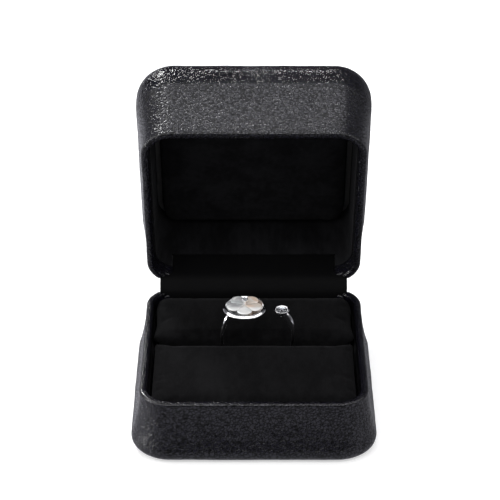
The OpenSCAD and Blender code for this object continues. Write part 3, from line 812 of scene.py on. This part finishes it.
def stuffed(name, node_name, cap, voxel, held):
    """A pad that swells from its foam block under pressure, at CLOTH_SCALE times its size. cap is how far a
    point may move, held tells which points don't, and every length is in millimetres."""
    up = CLOTH_SCALE
    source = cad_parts[node_name]
    mesh = source.data.copy()
    mesh.materials.clear()
    pad = bpy.data.objects.new(name, mesh)
    scene.collection.objects.link(pad)
    mesh.transform(Matrix.Scale(up, 4))
    bm = bmesh.new()
    bm.from_mesh(mesh)
    bmesh.ops.remove_doubles(bm, verts=bm.verts, dist=1e-5)
    bm.to_mesh(mesh)
    bm.free()
    mesh.remesh_voxel_size = voxel * MM * up
    bpy.context.view_layer.objects.active = pad
    pad.select_set(True)
    bpy.ops.object.voxel_remesh()
    pad.select_set(False)
    mesh = pad.data
    rest = np.array([v.co for v in mesh.vertices], float)
    pinned = pad.vertex_groups.new(name="held")
    pinned.add([int(i) for i in np.nonzero(held(rest / up / MM))[0]], 1.0, "REPLACE")
    cloth = pad.modifiers.new("swell", "CLOTH")
    cloth.settings.quality = 5
    cloth.settings.mass = 0.3
    cloth.settings.tension_stiffness = 12
    cloth.settings.compression_stiffness = 12
    cloth.settings.bending_stiffness = 2.5
    cloth.settings.use_pressure = True
    cloth.settings.uniform_pressure_force = 4.0
    cloth.settings.vertex_group_mass = "held"
    cloth.settings.effector_weights.gravity = 0
    cloth.point_cache.frame_start, cloth.point_cache.frame_end = 1, CLOTH_FRAMES
    for f in range(1, CLOTH_FRAMES + 1):
        scene.frame_set(f)
    swollen = pad.evaluated_get(bpy.context.evaluated_depsgraph_get()).to_mesh()
    moved = np.array([v.co for v in swollen.vertices], float)
    pad.modifiers.clear()
    scene.frame_set(1)
    # No point moves past the cap, and small moves are damped a little.
    step = moved - rest
    length = np.linalg.norm(step, axis=1, keepdims=True)
    limit = cap * MM * up
    rest += step * np.minimum(1, limit / np.maximum(length, 1e-9)) * np.tanh(length / limit + 0.3)
    mesh.vertices.foreach_set("co", (rest / up).ravel())
    mesh.update()
    mesh.shade_smooth()
    smooth = pad.modifiers.new("finer", "SUBSURF")
    smooth.levels = smooth.render_levels = 1
    fine = bpy.data.meshes.new_from_object(pad.evaluated_get(bpy.context.evaluated_depsgraph_get()))
    pad.modifiers.clear()
    pad.data = fine
    fine.name = name
    fine.shade_smooth()
    return pad


def reshaped(pad, change):
    """Moves a pad's points by a function of their places in millimetres."""
    mesh = pad.data
    at = np.array([v.co for v in mesh.vertices], float) / MM
    mesh.vertices.foreach_set("co", (change(at) * MM).ravel())
    mesh.update()
    return pad


def lips_drawn_in(at):
    """Moves the two pads' top edges towards each other along the slit, except where the band's arms pass."""
    out = at[:, 1] - SLIT_Y
    from_arm = np.abs(np.abs(at[:, 0] - RING_X) - ARM_OUT)
    near = ease((3.6 - np.abs(out)) / 2.4) * ease((at[:, 2] - 13.2) / 1.6) * ease(from_arm - ARM_CLEAR)
    at[:, 1] -= np.sign(out) * LIP_SHIFT * near
    return at


def filled_out(at):
    """Widens a pad above the lining, to within a millimetre or so of the tray's walls."""
    half = np.stack([np.full(len(at), TRAY_HALF),
                     np.where(at[:, 1] > 0, TRAY_HALF_REAR, TRAY_HALF_FRONT)], -1)
    sign = np.sign(at[:, :2])
    past = np.abs(at[:, :2]) - (half - TRAY_CORNER_R)
    corner = np.maximum(past, 0)
    far = np.linalg.norm(corner, axis=1)
    deep = far + np.minimum(past.max(axis=1), 0) - TRAY_CORNER_R
    way = np.where(far[:, None] > 0.01, corner / np.maximum(far, 0.01)[:, None],
                   np.eye(2)[np.argmax(past, axis=1)]) * sign
    high = ease((at[:, 2] - LINING_TOP) / 1.5)
    # The gap to the wall is measured in sectors, and each sector moves out by its own. Where a pad has no
    # side near a wall, the gap is taken from the sectors next to it.
    turn = (np.arctan2(at[:, 1], at[:, 0]) / math.pi + 1) * SECTORS / 2
    sector = np.floor(turn).astype(int) % SECTORS
    gap = np.full(SECTORS, -9.0)
    np.maximum.at(gap, sector[high > 0.9], deep[high > 0.9])
    known = gap > -WIDEST_GAP
    gap = np.interp(np.arange(SECTORS), np.nonzero(known)[0], gap[known], period=SECTORS)
    gap = np.mean([np.roll(gap, k) for k in (-1, 0, 1)], axis=0)
    around = np.arange(-1, SECTORS + 1)
    gap = np.interp(turn - 0.5, around, gap[around % SECTORS])
    at[:, :2] += way * (np.clip(-gap - 0.05, 0, MOST_FILL) * ease((deep - gap + 5) / 4.5) * high)[:, None]
    at[:, 2] += 0.35 * ease((at[:, 1] - 8) / 16) * high
    return lips_drawn_in(at)


def bed_mesh():
    """The bed of the slit: a strip of velvet with soft long edges, hollowed a little along its middle."""
    rows, columns = 100, 32
    run = np.linspace(-BED_HALF, BED_HALF, rows)
    turn = np.linspace(0, 2 * math.pi, columns, endpoint=False)
    y = BED_HALF_W * np.sign(np.cos(turn)) * np.abs(np.cos(turn)) ** 0.4
    z = np.sign(np.sin(turn)) * np.abs(np.sin(turn)) ** 0.3
    z = (BED_TOP + PAD_FOOT) / 2 + (BED_TOP - PAD_FOOT) / 2 * z
    z -= 0.12 * (np.sin(turn) > 0.5) * np.cos(y * math.pi / 2.4)
    points = np.stack([np.repeat(run, columns), SLIT_Y + np.tile(y, rows), np.tile(z, rows)], -1)
    points[:, 2] += 0.04 * ripple(points, 6, 3) * (points[:, 2] > 5)
    faces = grid_faces(rows, columns, False, True)
    faces += [tuple(range(columns)), tuple((rows - 1) * columns + i for i in reversed(range(columns)))]
    return points, faces


# ---- Base and lid coverings ----

points, faces = leather_skin(BASE_H, PANEL_T, BASE_EDGE, closed=False, seed=11)
base_leather = wear(piece("base_leather", points, faces), LEATHER)
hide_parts("base_cover")
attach(base_leather, "base")

points, faces = leather_skin(LID_H, 0.0, LID_EDGE, closed=True, seed=23)
lid_leather = wear(piece("lid_leather", lid_open(points), faces), LID_LEATHER)
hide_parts("lid_cover")
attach(lid_leather, "lid")

# ---- Cushion and pad ----

for name in ("front_pad", "rear_pad"):
    pad = stuffed(name, name + "_foam", cap=0.75, voxel=0.8, held=lambda p: p[:, 2] < PAD_FOOT + HELD_H)
    wear(reshaped(pad, filled_out), CUSHION_VELVET)
    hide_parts(name + "_cover", name + "_foam")
    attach(pad, "base")

bed = wear(piece("slit_velvet", *bed_mesh()), CUSHION_VELVET)
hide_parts("slit_bed")
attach(bed, "base")

lid_pad = stuffed("lid_pad", "lid_pad_foam", cap=0.5, voxel=1.2,
                  held=lambda p: lid_own(p)[:, 2] < LID_PAD_HELD)
wear(lid_pad, LINING_VELVET)
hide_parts("lid_pad_cover", "lid_pad_foam")
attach(lid_pad, "lid")

# ---- Strip ----

points, faces, uv, strip_length = strip_mesh()
strip = wear(piece("satin_strip", points, faces, uv=uv), SATIN)
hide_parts("hinge_strip")
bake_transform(strip)

# ---- Ring pieces ----

def ring_piece(name, node_name, mesh, material, smooth=True):
    """A piece that stands for one node of the ring and rides on it."""
    made = wear(piece(name, *mesh, smooth=smooth), material)
    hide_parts(node_name)
    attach(made, "ring")


ring_piece("open_band", "ring_band", band_mesh(), SILVER)
ring_piece("petal_dish", "blossom_dish", dish_mesh(), SILVER)
ring_piece("petals", "blossom_petals", petals_mesh(), PEARL)
ring_piece("centre_bezel", "centre_collet", bezel_mesh(), SILVER)
ring_piece("centre_cut_stone", "centre_stone",
           cut_stone((BLOSSOM_X, SLIT_Y, PETAL_TOP + 1.66), 0.66, 0.24, 0.2), CRYSTAL, False)
ring_piece("side_cup", "side_collet", cup_mesh(), SILVER)
ring_piece("side_cut_stone", "side_stone",
           cut_stone((SIDE_X, SLIT_Y, SIDE_TOP - 0.2), 1.64, 0.42, 0.72), CRYSTAL, False)

# ---- Carried-over nodes ----

for material, names in (
        (SHELL_PLASTIC, ("base_shell", "lid_shell")),
        (PANEL_CARD, ("base_panel",)),
        (LINING_VELVET, ("base_lining", "lid_lining")),
        (GREY_CARD, ("cushion_card", "lid_pad_card")),
        (STEEL, ("hinge_base_leaf", "hinge_lid_leaf", "hinge_base_rivets", "hinge_lid_rivets", "hinge_pin",
                 "hinge_snap_spring"))):
    for name in names:
        wear(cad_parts[name], material)

# ---- Floor, light and camera ----

floor_mesh = bpy.data.meshes.new("floor")
floor_mesh.from_pydata([(-3, -3, 0), (3, -3, 0), (3, 3, 0), (-3, 3, 0)], [], [(0, 1, 2, 3)])
floor = bpy.data.objects.new("floor", floor_mesh)
scene.collection.objects.link(floor)
floor.location.z = -0.0001
paper, tree, bsdf = shader("white_paper", Base_Color=(0.8, 0.8, 0.8, 1), Roughness=0.9,
                           Specular_IOR_Level=0.1)
rays = node(tree, "ShaderNodeLightPath").outputs
# Seen directly, it glows a little, and more so far off, so that it stays pale there.
reach = node(tree, "ShaderNodeVectorMath", {0: object_vector(tree)}, operation="LENGTH").outputs["Value"]
glow = node(tree, "ShaderNodeEmission",
            {"Color": (1, 1, 1, 1), "Strength": ranged(tree, reach, 0.35, 0.7, 0.5, 1.0)})
lift = node(tree, "ShaderNodeAddShader", {0: bsdf.outputs[0], 1: glow.outputs[0]})
# In reflections the sheet is dimmer on the right, and ends a little way in front of the box.
place = node(tree, "ShaderNodeSeparateXYZ", {0: object_vector(tree)}).outputs
beyond = ranged(tree, place[1], 0.03, 0.12, 0.40, 0.62)
beside = ranged(tree, place[0], -0.04, 0.04, beyond, 0.21)
mirrored = node(tree, "ShaderNodeEmission", {"Color": (0.92, 0.92, 1, 1),
                                             "Strength": ranged(tree, place[1], -0.05, 0.0, 0.50, beside)})
far = node(tree, "ShaderNodeMixShader", {0: ranged(tree, place[1], -0.115, -0.07), 2: mirrored.outputs[0]})
plain_floor = node(tree, "ShaderNodeMixShader",
                   {0: rays["Is Glossy Ray"], 1: bsdf.outputs[0], 2: far.outputs[0]})
pick = node(tree, "ShaderNodeMixShader",
            {0: rays["Is Camera Ray"], 1: plain_floor.outputs[0], 2: lift.outputs[0]})
tree.links.new(pick.outputs[0], tree.nodes["Material Output"].inputs["Surface"])
floor_mesh.materials.append(paper)

# The surroundings are white to the camera and a dim grey to all else.
world = bpy.data.worlds.new("studio")
scene.world = world
world.use_nodes = True
tree = world.node_tree
background = tree.nodes["Background"]
rays = node(tree, "ShaderNodeLightPath").outputs
tree.links.new(mixed(tree, rays["Is Camera Ray"], (0.09, 0.09, 0.10, 1), (1, 1, 1, 1)),
               background.inputs["Color"])


def softbox(name, bearing, height, distance, size, radiance, tint=(1, 1, 1)):
    """A rectangular lamp of a given radiance, aimed at the box. bearing is in degrees to the right of
    straight behind it, height in degrees above the floor, and sizes are in metres."""
    lamp = bpy.data.lights.new(name, "AREA")
    lamp.shape = "RECTANGLE"
    lamp.size, lamp.size_y = size
    lamp.energy = radiance * math.pi * size[0] * size[1]
    lamp.color = tint
    obj = bpy.data.objects.new(name, lamp)
    scene.collection.objects.link(obj)
    b, h = math.radians(bearing), math.radians(height)
    way = Vector((math.sin(b) * math.cos(h), math.cos(b) * math.cos(h), math.sin(h)))
    obj.location = Vector((0, 0, 0.04)) + distance * way
    obj.rotation_euler = (-way).to_track_quat("-Z", "Y").to_euler()
    obj.visible_camera = False


softbox("overhead", 0, 79, 0.9, (1.1, 0.40), 1.45, (0.95, 0.94, 1.0))
softbox("left_wall", -105, 30, 1.0, (1.1, 0.7), 2.0)
softbox("right_wall", 105, 30, 1.0, (1.1, 0.6), 1.4)
softbox("front_fill", 180, 52, 1.0, (1.3, 0.5), 2.6)
softbox("left_glint", -32, 36, 0.8, (0.15, 0.15), 50.0)
softbox("back_glint", 3, 49, 0.8, (0.06, 0.03), 170.0)
softbox("low_glint", -97, -2, 0.6, (0.25, 0.03), 70.0)

# The camera is the one that fits the outline of both halves in the photograph.
camera = bpy.data.objects.new("camera", bpy.data.cameras.new("camera"))
scene.collection.objects.link(camera)
camera.location = (-0.001035, -0.4501, 0.2982)
camera.rotation_euler = (math.radians(90 - 29.25), 0, 0)
camera.data.lens = 140.8
camera.data.sensor_width = 36
camera.data.clip_start, camera.data.clip_end = 0.01, 20
scene.camera = camera

scene.view_settings.view_transform = "Standard"
